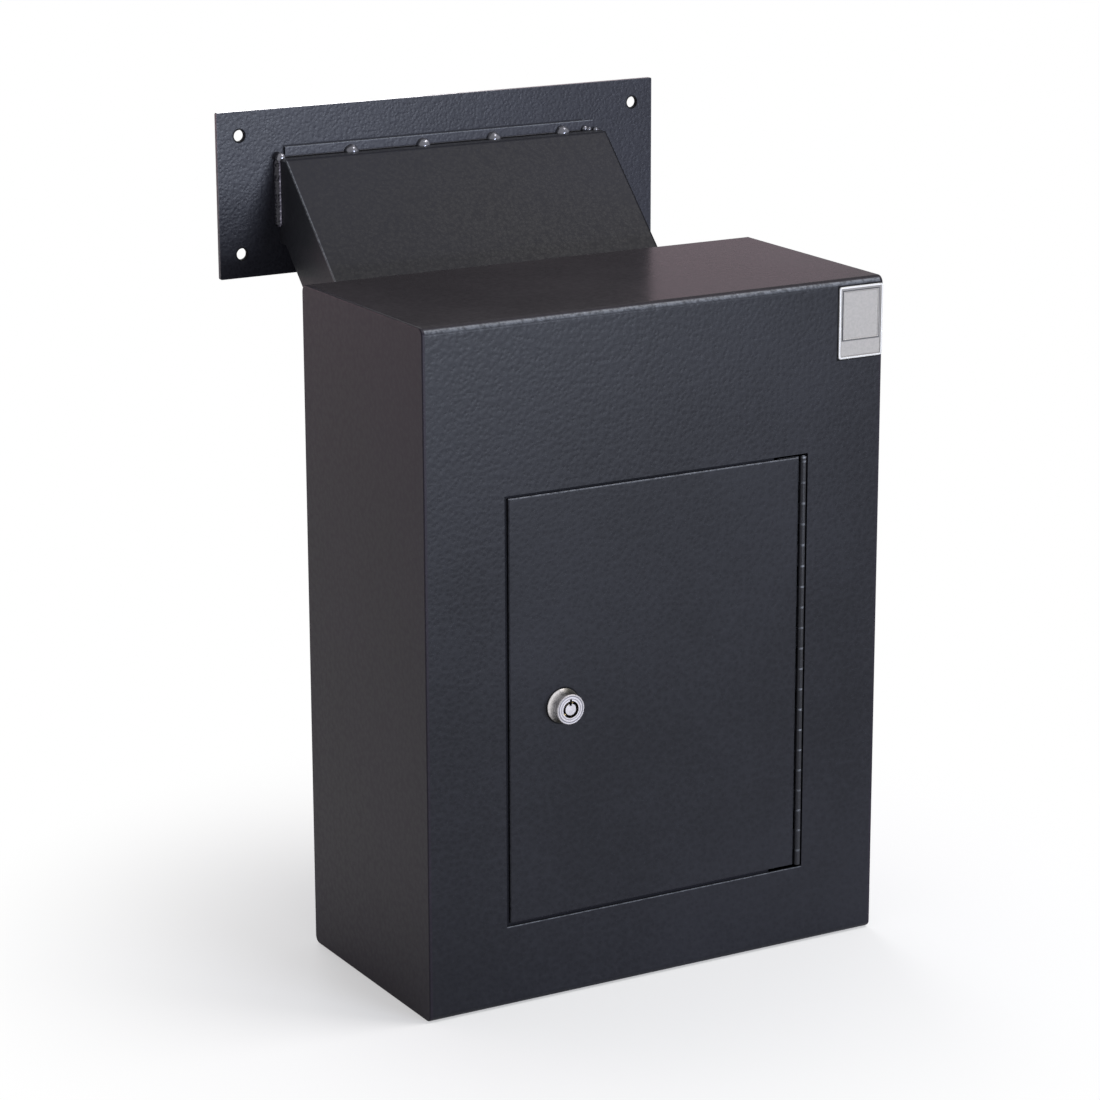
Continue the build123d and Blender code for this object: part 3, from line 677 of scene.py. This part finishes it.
def named_number(graph, name):
    """A number that each point of the starting mesh carries."""
    return graph.node("GeometryNodeInputNamedAttribute", {"data_type": "FLOAT"}, {"Name": name})


def close_tree(graph, entry, geometry):
    """Ends a tree with real, smooth shaded geometry in the tree's material."""
    real = graph.node("GeometryNodeRealizeInstances", None, {"Geometry": geometry})
    smooth_faces = graph.node("GeometryNodeSetShadeSmooth", None, {"Geometry": real})
    painting = {"Geometry": smooth_faces, "Material": entry.out("Material")}
    painted = graph.node("GeometryNodeSetMaterial", None, painting)
    graph.node("NodeGroupOutput", None, {"Geometry": painted})
    return graph.tree


def grow(tree, name, start, material, **sizes):
    """Runs a tree on a starting mesh and returns a plain mesh object."""
    piece = bpy.data.objects.new(name, start)
    bpy.context.scene.collection.objects.link(piece)
    modifier = piece.modifiers.new("grow", "NODES")
    modifier.node_group = tree
    values = {label.replace("_", " ").title(): value for label, value in sizes.items()}
    values["Material"] = material
    for socket in tree.interface.items_tree:
        if socket.in_out == "INPUT" and socket.name in values:
            modifier[socket.identifier] = values[socket.name]
    bpy.context.view_layer.update()
    grown = piece.evaluated_get(bpy.context.evaluated_depsgraph_get())
    done = bpy.data.meshes.new_from_object(grown)
    piece.modifiers.clear()
    piece.data = done
    done.name = name
    print(name, "has", sum(len(face.vertices) - 2 for face in done.polygons), "triangles")
    return piece


print("growing ready")

# %% [markdown]
# ## Welds that ripple
#
# A fillet weld fills the corner between two sheets with a row of frozen puddles, each a crescent that laps
# the one before. The CAD has plain wedges there. Here each run starts as a smooth fillet, built section by
# section, with its ends rounded off where the arc was struck and broken. Two attributes go with it: how far
# along the run a point lies, and how far across the bead. The tree turns them into crescents, highest in
# the middle of the bead and nothing at its toes, with a slow wander so that no two puddles match.

# %% Smooth fillets
def close_rings(form, rings):
    """Joins each ring of points to the next, and fills the first and the last."""
    for one, two in zip(rings, rings[1:]):
        for k in range(len(one)):
            after = (k + 1) % len(one)
            form.faces.new((one[k], one[after], two[after], two[k]))
    form.faces.new(rings[0])
    form.faces.new(rings[-1])


def finished_mesh(name, form):
    """A mesh with its faces pointing outwards, from a form that is then let go."""
    bmesh.ops.recalc_face_normals(form, faces=form.faces)
    mesh = bpy.data.meshes.new(name)
    form.to_mesh(mesh)
    form.free()
    return mesh


def fillet_runs(name, runs, step, around):
    """Each run has its start and end in the corner, a leg up either sheet, and its middle's bulge, in mm."""
    form = bmesh.new()
    along = form.verts.layers.float.new("along")
    across = form.verts.layers.float.new("across")
    for run in runs:
        start, end, leg_a, leg_b, bulge = (Vector(v) * MM for v in run)
        length = (end - start).length
        count = max(6, round(length / (step * MM)))
        rings = []
        for i in range(count + 1):
            place = i / count
            from_end = min(place, 1 - place) * length / leg_a.length
            swell = sqrt(1 - max(0.0, 0.98 - from_end) ** 2)
            root = start.lerp(end, place)
            ring = [form.verts.new(root)]
            ring[0][across] = 1.0
            for k in range(around + 1):
                turn = k / around
                arm = leg_a.lerp(leg_b, turn) + bulge * sin(pi * turn)
                ring.append(form.verts.new(root + arm * swell))
                ring[-1][across] = 2 * turn - 1
            for vertex in ring:
                vertex[along] = place * length
            rings.append(ring)
        close_rings(form, rings)
    return finished_mesh(name, form)


print("fillets ready")

# %% [markdown]
# The tree reads the two attributes. The distance along, over the pitch, says which puddle a point is in and
# how far through it. The middle of the bead is a little ahead of its toes, which bends the stripes to
# crescents.

# %% The ripple tree
def ripple_tree():
    graph, entry = geometry_graph("weld_ripple", ["Pitch", "Height", "Wander", "Seed"])
    along = named_number(graph, "along")
    across = named_number(graph, "across")
    place = graph.node("GeometryNodeInputPosition")
    normal = graph.node("GeometryNodeInputNormal")
    lumps = graph.seeded_noise(place, entry.out("Seed"), 420.0, 2.0)
    middle = 1 - across * across
    lapped = along / entry.out("Pitch") + middle * 0.7 + lumps * 0.9
    crescent = lapped.maths("FRACT") ** 0.6
    rise = (crescent - 0.5) * entry.out("Height") * middle + (lumps - 0.5) * entry.out("Wander") * middle
    moving = {"Geometry": entry, "Offset": graph.scaled(normal, rise)}
    return close_tree(graph, entry, graph.node("GeometryNodeSetPosition", None, moving))


weld_ripple = ripple_tree()
print("tree", weld_ripple.name, "has", len(weld_ripple.nodes), "nodes")

# %% [markdown]
# Every run takes its place from the CAD solid that it stands for, so that a change in the drawing moves the
# weld too. The two beads that hold the chute's sides to the wall plate are the ones in plain view. The
# sleeve has a bead down each side and stitches over its top, and the hinge's leaves have short stitches
# inside.

# %% Lay the side beads
bead_low, bead_high = in_mm("side_beads")
bead_leg = bead_high.y - bead_low.y


def bead_highlight(graph, split):
    """A painted highlight along the toe on the chute's side, where the bead's curve faces the light."""
    toe = near(graph, split.out("X").maths("ABSOLUTE") - (bead_high.x - bead_leg + 0.7) * MM, 0.9)
    return toe * graph.between(graph.node("ShaderNodeTexNoise", None, {"Scale": 900.0}), 0.3, 0.6, 0.3, 1.0)


bead_skin = plated_metal(
    "bead_skin", (0.030, 0.029, 0.040), 0.30, 500.0,
    metallic=0.35, rubbed_and_lit=bead_highlight, rubbed_and_lit_colour=(0.56, 0.53, 0.66),
)
side_bulge = 0.7
side_runs = []
for outward in (-1, 1):
    x = outward * (bead_high.x - bead_leg)
    side_runs.append((
        (x, bead_high.y, bead_low.z), (x, bead_high.y, bead_high.z),
        (outward * bead_leg, 0, 0), (0, -bead_leg, 0), (outward * side_bulge, -side_bulge, 0),
    ))
side_bead = grow(
    weld_ripple, "side_bead_ripples", fillet_runs("side_bead_ripples", side_runs, 0.3, 10), bead_skin,
    pitch=2.3 * MM, height=0.7 * MM, wander=2.6 * MM, seed=3.0,
)
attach(side_bead, "chute")
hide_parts("side_beads")

# %% Lay the sleeve's beads and stitches
slope = radians(45)
half_stitch = 15
sleeve_low, sleeve_high = in_mm("sleeve_welds")
sleeve_leg = sleeve_high.y - sleeve_low.y
top_z = sleeve_high.z - sleeve_leg / cos(slope)
side_bulge = 0.3
sleeve_runs = []
for outward in (-1, 1):
    x = outward * (sleeve_high.x - sleeve_leg)
    sleeve_runs.append((
        (x, sleeve_low.y, sleeve_low.z), (x, sleeve_low.y, top_z),
        (outward * sleeve_leg, 0, 0), (0, sleeve_leg, 0), (outward * side_bulge, side_bulge, 0),
    ))
stitch_pitch = 2 * (sleeve_high.x - sleeve_leg) / 3
for x in (-stitch_pitch, 0, stitch_pitch):
    sleeve_runs.append((
        (x - half_stitch, sleeve_low.y, top_z), (x + half_stitch, sleeve_low.y, top_z),
        (0, 0, sleeve_leg / cos(slope)), (0, sleeve_leg, sleeve_leg), (0, 0.2, 0.5),
    ))
sleeve_bead = grow(
    weld_ripple, "sleeve_bead_ripples", fillet_runs("sleeve_bead_ripples", sleeve_runs, 0.4, 8), weld_skin,
    pitch=2.6 * MM, height=0.8 * MM, wander=0.8 * MM, seed=8.0,
)
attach(sleeve_bead, "box")
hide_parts("sleeve_welds")

# %% [markdown]
# The hinge is stitched and not welded all along, because heat would pull its thin leaves out of line. The
# butt seam under the box was ground flush outside, so only a low crown is left inside.

# %% Stitches on the hinge's leaves and the crown of the seam
leaf_stitch, stitch_count = 12.0, 5


def leaf_stitches(name, node, body, outward, seed):
    """Short stitches along a leaf's edge. outward is the side of it, along x, on which they lie."""
    low, high = in_mm(node)
    leg = high.x - low.x
    x = low.x if outward > 0 else high.x
    pitch = (high.z - low.z - leaf_stitch) / (stitch_count - 1)
    bulge = (outward * 0.08, 0.08, 0)
    runs = []
    for k in range(stitch_count):
        z = low.z + k * pitch
        runs.append(((x, low.y, z), (x, low.y, z + leaf_stitch), (outward * leg, 0, 0), (0, leg, 0), bulge))
    stitch = grow(
        weld_ripple, name, fillet_runs(name, runs, 0.25, 6), weld_skin,
        pitch=1.1 * MM, height=0.25 * MM, wander=0.2 * MM, seed=seed,
    )
    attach(stitch, body)
    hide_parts(node)


leaf_stitches("frame_stitch_ripples", "frame_leaf_welds", "box", 1, 1.0)
leaf_stitches("door_stitch_ripples", "door_leaf_welds", "door", -1, 2.0)

seam_low, seam_high = in_mm("seam_weld")
seam_y = (seam_low.y + seam_high.y) / 2
wrap_sheet, half_crown, seam_end = 1.9, 2.5, 0.3
seam_run = (
    (seam_low.x + seam_end, seam_y, wrap_sheet), (seam_high.x - seam_end, seam_y, wrap_sheet),
    (0, -half_crown, 0), (0, half_crown, 0), (0, 0, seam_high.z - wrap_sheet),
)
seam_bead = grow(
    weld_ripple, "seam_ripples", fillet_runs("seam_ripples", [seam_run], 0.4, 8), weld_skin,
    pitch=2.2 * MM, height=0.45 * MM, wander=0.3 * MM, seed=5.0,
)
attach(seam_bead, "box")

# %% [markdown]
# ## Tack blobs on the hood
#
# The hood's flange is held to the wall plate by four fat tacks, with a spatter of small ones where the
# ledge meets the right side, and one more by the left. A tack is a drop of metal that froze as it was
# wetting two sheets: a dome, never quite round. The tree sets a sphere on each point, sizes it by the
# point's own attribute, lets a noise push it out of round, and stops it inside the sheets, so that nothing
# comes out of their other faces.

# %% The tack tree
def tack_tree():
    graph, entry = geometry_graph("tack_blobs", ["Lumpiness", "Face", "Ledge", "Seed"])
    size = named_number(graph, "size")
    ball = graph.node("GeometryNodeMeshUVSphere", None, {"Segments": 28, "Rings": 18, "Radius": 1.0})
    row = graph.node("GeometryNodeInstanceOnPoints", None, {"Points": entry, "Instance": ball, "Scale": size})
    balls = graph.node("GeometryNodeRealizeInstances", None, {"Geometry": row})
    place = graph.node("GeometryNodeInputPosition")
    normal = graph.node("GeometryNodeInputNormal")
    lumps = graph.seeded_noise(place, entry.out("Seed"), 300.0, 1.0)
    push = graph.scaled(normal, (lumps - 0.5) * entry.out("Lumpiness"))
    lumpy = graph.node("GeometryNodeSetPosition", None, {"Geometry": balls, "Offset": push})
    split = graph.apart(graph.node("GeometryNodeInputPosition"))
    kept = graph.together(
        split.out("X"),
        split.out("Y").maths("MINIMUM", entry.out("Face")),
        split.out("Z").maths("MAXIMUM", entry.out("Ledge")),
    )
    clipped = graph.node("GeometryNodeSetPosition", None, {"Geometry": lumpy, "Position": kept})
    return close_tree(graph, entry, clipped)


tack_blobs = tack_tree()
print("tree", tack_blobs.name, "has", len(tack_blobs.nodes), "nodes")

# %% Set the tacks
tack_low, tack_high = in_mm("hood_tacks")
flange_face = tack_high.y
ledge_top = tack_low.z
tack_count = 4
tack_radius = (tack_high.z - tack_low.z) * 1.12
first_tack = tack_low.x + tack_radius
tack_pitch = (tack_high.x - tack_low.x - 2 * tack_radius) / (tack_count - 1)
# Each drop is its x, how far it stands from the flange's face and over the ledge, and its radius, in mm.
drops = [(first_tack + k * tack_pitch, 0.0, 0.0, tack_radius) for k in range(tack_count)]
drops += [(101.8, -0.3, 1.6, 2.1), (104.6, -0.9, 0.6, 1.7), (109.0, -1.6, 0.2, 1.9), (-112.2, -1.6, 0.2, 3.3)]
middles = [(x * MM, (flange_face + y) * MM, (ledge_top + z) * MM) for x, y, z, _ in drops]
points = bpy.data.meshes.new("tack_points")
points.from_pydata(middles, [], [])
radii = points.attributes.new("size", "FLOAT", "POINT")
for item, drop in zip(radii.data, drops):
    item.value = drop[3] * MM
sunk = 1.0
tacks = grow(
    tack_blobs, "tack_blobs", points, tack_skin,
    lumpiness=1.3 * MM, face=(flange_face + sunk) * MM, ledge=(ledge_top - sunk) * MM, seed=4.0,
)
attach(tacks, "chute")
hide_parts("hood_tacks")

# %% [markdown]
# ## The thread on the lock
#
# Behind the door the lock's body is threaded for its nut, and two flats are milled along it so that it
# cannot turn in its hole. A spiral with a small profile swept along it is a thread, and pressing it back to
# the planes of the flats mills them. The CAD leaves the body plain, and only the turns past the nut can be
# seen.

# %% The thread tree
_, nut_high = in_mm("lock_nut")


def thread_tree():
    graph, entry = geometry_graph("lock_thread", ["Radius", "Turns", "Length", "Ridge", "Flat"])
    winding = {
        "Resolution": 96,
        "Rotations": entry.out("Turns"),
        "Start Radius": entry.out("Radius"),
        "End Radius": entry.out("Radius"),
        "Height": entry.out("Length"),
    }
    spiral = graph.node("GeometryNodeCurveSpiral", None, winding)
    six_sided = {"Resolution": 6, "Radius": entry.out("Ridge")}
    profile = graph.node("GeometryNodeCurvePrimitiveCircle", None, six_sided)
    ridge = graph.node("GeometryNodeCurveToMesh", None, {0: spiral, 1: profile, "Fill Caps": True})
    split = graph.apart(graph.node("GeometryNodeInputPosition"))
    milled = split.out("X").maths("MINIMUM", entry.out("Flat")).maths("MAXIMUM", entry.out("Flat") * -1)
    turned = graph.together(
        milled + lock_x * MM, split.out("Z") + nut_high.y * MM, split.out("Y") + lock_z * MM
    )
    cut = graph.node("GeometryNodeSetPosition", None, {"Geometry": ridge, "Position": turned})
    return close_tree(graph, entry, cut)


lock_thread = thread_tree()
print("tree", lock_thread.name, "has", len(lock_thread.nodes), "nodes")

# %% Cut the thread
thread_radius, thread_pitch, thread_ridge, half_flats = 9.36, 0.95, 0.26, 8.06
thread_end = 0.5
thread_length = head_high.y - nut_high.y - thread_end
thread = grow(
    lock_thread, "lock_thread", bpy.data.meshes.new("lock_thread"), nickel,
    radius=thread_radius * MM, turns=thread_length / thread_pitch, length=thread_length * MM,
    ridge=thread_ridge * MM, flat=half_flats * MM,
)
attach(thread, "door")

# %% [markdown]
# ## The badge
#
# A small cast badge is riveted or glued to the front, with its right edge flush with the box's side. It has
# a raised rim, and a raised inner frame round the upper panel, with a plain strip left below. It stays
# bare. A badge like this is a sheet pushed up in steps, so the mesh is made from rounded outlines, each at
# its own height, and every outline is stitched to the next one in.

# %% Rounded outlines joined in steps
def rounded_outline(left, right, low, high, corner, steps=5):
    """Corners and arc points of a rounded rectangle in x and z, in mm."""
    rounded = []
    centres = (
        (right - corner, high - corner, 0), (left + corner, high - corner, 90),
        (left + corner, low + corner, 180), (right - corner, low + corner, 270),
    )
    for x, z, first in centres:
        for k in range(steps + 1):
            turn = radians(first + 90 * k / steps)
            rounded.append((x + corner * cos(turn), z + corner * sin(turn)))
    return rounded


def stepped_plate(form, left, right, low, high, levels, base_y):
    """levels lists (inset, height above the base, corner) from the foot of the plate to its middle, in mm."""
    rings = []
    for inset, height, corner in levels:
        rounded = rounded_outline(left + inset, right - inset, low + inset, high - inset, corner)
        rings.append([form.verts.new(Vector((x, base_y - height, z)) * MM) for x, z in rounded])
    close_rings(form, rings)


print("outlines ready")

# %% [markdown]
# The badge is cast in a pale alloy and left rough. Its rim has been rubbed a little, a line of dark enamel
# runs round the panel, and the groove inside the rim is darker.

# %% The badge's metal
panel_inset, strip_height = 2.6, 11.0
badge_panel = (
    badge_left + panel_inset, badge_right - panel_inset, badge_low + strip_height, badge_high - panel_inset
)


def badge_lines(graph, split):
    """A line of enamel round the panel, and a fainter one in the groove inside the rim."""
    round_panel = near(graph, outline(split, *badge_panel) - 0.1 * MM, 0.7)
    in_groove = near(graph, outline(split, *badge_sides) + 1.6 * MM, 0.5)
    return round_panel.maths("MAXIMUM", in_groove * 0.35)


def badge_rim(graph, split):
    """The crest of the rim, and all that lies outside it."""
    return graph.between(outline(split, *badge_sides), -1.3 * MM, -0.9 * MM) * 0.6


badge_silver = plated_metal(
    "badge_silver", (0.250, 0.233, 0.215), 0.50, 700.0, metallic=0.25, rubbed_and_lit=badge_rim, inked=badge_lines
)
print("badge metal is", badge_silver.name)

# %% Build the badge
front_y = door_low.y
rim_levels = [
    (0.0, 0.0, 1.6), (0.0, 0.55, 1.6), (0.15, 0.85, 1.5), (0.4, 0.95, 1.3),
    (1.1, 0.95, 0.9), (1.4, 0.85, 0.7), (1.6, 0.5, 0.6),
]
panel_levels = [
    (0.0, 0.45, 0.9), (0.0, 0.7, 0.9), (0.15, 0.82, 0.8),
    (0.7, 0.82, 0.5), (0.85, 0.72, 0.4), (0.95, 0.55, 0.3),
]
badge_form = bmesh.new()
stepped_plate(badge_form, *badge_sides, rim_levels, front_y)
stepped_plate(badge_form, *badge_panel, panel_levels, front_y)
badge_mesh = finished_mesh("badge_plate", badge_form)
badge_mesh.materials.append(badge_silver)
badge = bpy.data.objects.new("badge_plate", badge_mesh)
bpy.context.scene.collection.objects.link(badge)
for face in badge_mesh.polygons:
    face.use_smooth = len(face.vertices) == 4
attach(badge, "box")
print("badge is", round(badge_right - badge_left, 1), "by", round(badge_high - badge_low, 1), "mm")

# %% [markdown]
# ## The studio
#
# A charcoal box shows little of its own colour. What the eye reads is what its skin reflects, so the lights
# are wide and soft: a cool one low on the right, which the front and the plate mirror, two warm ones behind
# for the side and the top, a plain one behind that keeps the back readable, and one high on the right,
# which puts the bright line on every edge that faces up. The floor is pale and catches the shadow near the
# box, and further out it fades to the white of the background.

# %% Lights
def soft_light(name, place, aim, width, height, power, colour):
    """A flat lamp of width by height, in metres, at a place and turned to an aim. Its power is in watts."""
    lamp = bpy.data.lights.new(name, "AREA")
    lamp.shape = "RECTANGLE"
    lamp.size = width
    lamp.size_y = height
    lamp.energy = power
    lamp.color = colour
    holder = bpy.data.objects.new(name, lamp)
    holder.location = place
    direction = Vector(aim) - Vector(place)
    holder.rotation_mode = "QUATERNION"
    holder.rotation_quaternion = direction.to_track_quat("-Z", "Y")
    bpy.context.scene.collection.objects.link(holder)


soft_light("key_front", (0.68, -2.20, 0.32), (0.0, 0.0, 0.34), 0.9, 0.52, 52.0, (0.775, 0.845, 1.0))
soft_light("warm_left", (-1.6, 2.6, 0.5), (-0.1, 0.0, 0.2), 1.4, 0.9, 12.0, (1.0, 0.50, 0.66))
soft_light("warm_back", (1.4, 2.6, 0.95), (0.1, 0.0, 0.4), 1.0, 0.6, 0.8, (1.0, 0.20, 0.55))
soft_light("fill_back", (0.45, 2.30, 0.75), (0.0, 0.1, 0.25), 1.2, 0.8, 30.0, (0.97, 0.98, 1.0))
soft_light("overhead", (1.15, -0.70, 2.40), (0.0, -0.07, 0.3), 1.1, 0.8, 34.0, (1.0, 0.98, 0.97))
print("lights placed")

# %% [markdown]
# The background is white to the camera, and to metal and glass, but it lights the box only softly: Light
# Path tells the rays apart. The floor does the same further out. It lies a hair under the box, so that the
# two faces don't fight for the same place.

# %% World
white_paint = (1.0, 1.0, 1.0, 1.0)
world = bpy.data.worlds.new("studio_world")
world.use_nodes = True
bpy.context.scene.world = world
sky = Graph(world.node_tree)
ray = sky.node("ShaderNodeLightPath")
seen = ray.out("Is Camera Ray") + ray.out("Is Glossy Ray") + ray.out("Is Transmission Ray")
light = sky.node("ShaderNodeBackground", None, {"Color": (0.95, 0.97, 1.0, 1.0), "Strength": 0.40})
white = sky.node("ShaderNodeBackground", None, {"Color": white_paint, "Strength": 1.0})
mixed = sky.node("ShaderNodeMixShader", None, {0: seen.maths("MINIMUM", 1.0), 1: light, 2: white})
sky.node("ShaderNodeOutputWorld", None, {"Surface": mixed})
print("world", world.name, "has", len(world.node_tree.nodes), "nodes")

# %% Floor
floor_material, ground = shader_graph("floor_pale")
ray = ground.node("ShaderNodeLightPath")
away = ground.vector_maths("LENGTH", object_place(ground), output="Value")
paper = ground.node("ShaderNodeBsdfDiffuse", None, {"Color": (0.93, 0.93, 0.93, 1.0)})
glow = ground.node("ShaderNodeEmission", None, {"Color": white_paint, "Strength": 1.0})
mirrored = ground.between(away, 0.08, 0.34) * ray.out("Is Glossy Ray")
far = (ground.between(away, 0.12, 0.42, 0.4, 1.0) * ray.out("Is Camera Ray")).maths("MAXIMUM", mirrored)
surface(ground, ground.node("ShaderNodeMixShader", None, {0: far, 1: paper, 2: glow}))

reach = 30.0
floor_gap = 0.2
corners = [(-reach, -reach, 0), (reach, -reach, 0), (reach, reach, 0), (-reach, reach, 0)]
floor_mesh = bpy.data.meshes.new("floor")
floor_mesh.from_pydata(corners, [], [(0, 1, 2, 3)])
floor_mesh.materials.append(floor_material)
floor = bpy.data.objects.new("floor", floor_mesh)
floor.location.z = -floor_gap * MM
bpy.context.scene.collection.objects.link(floor)
bpy.context.scene.view_settings.view_transform = "Standard"
print("floor reaches", reach, "m each way")
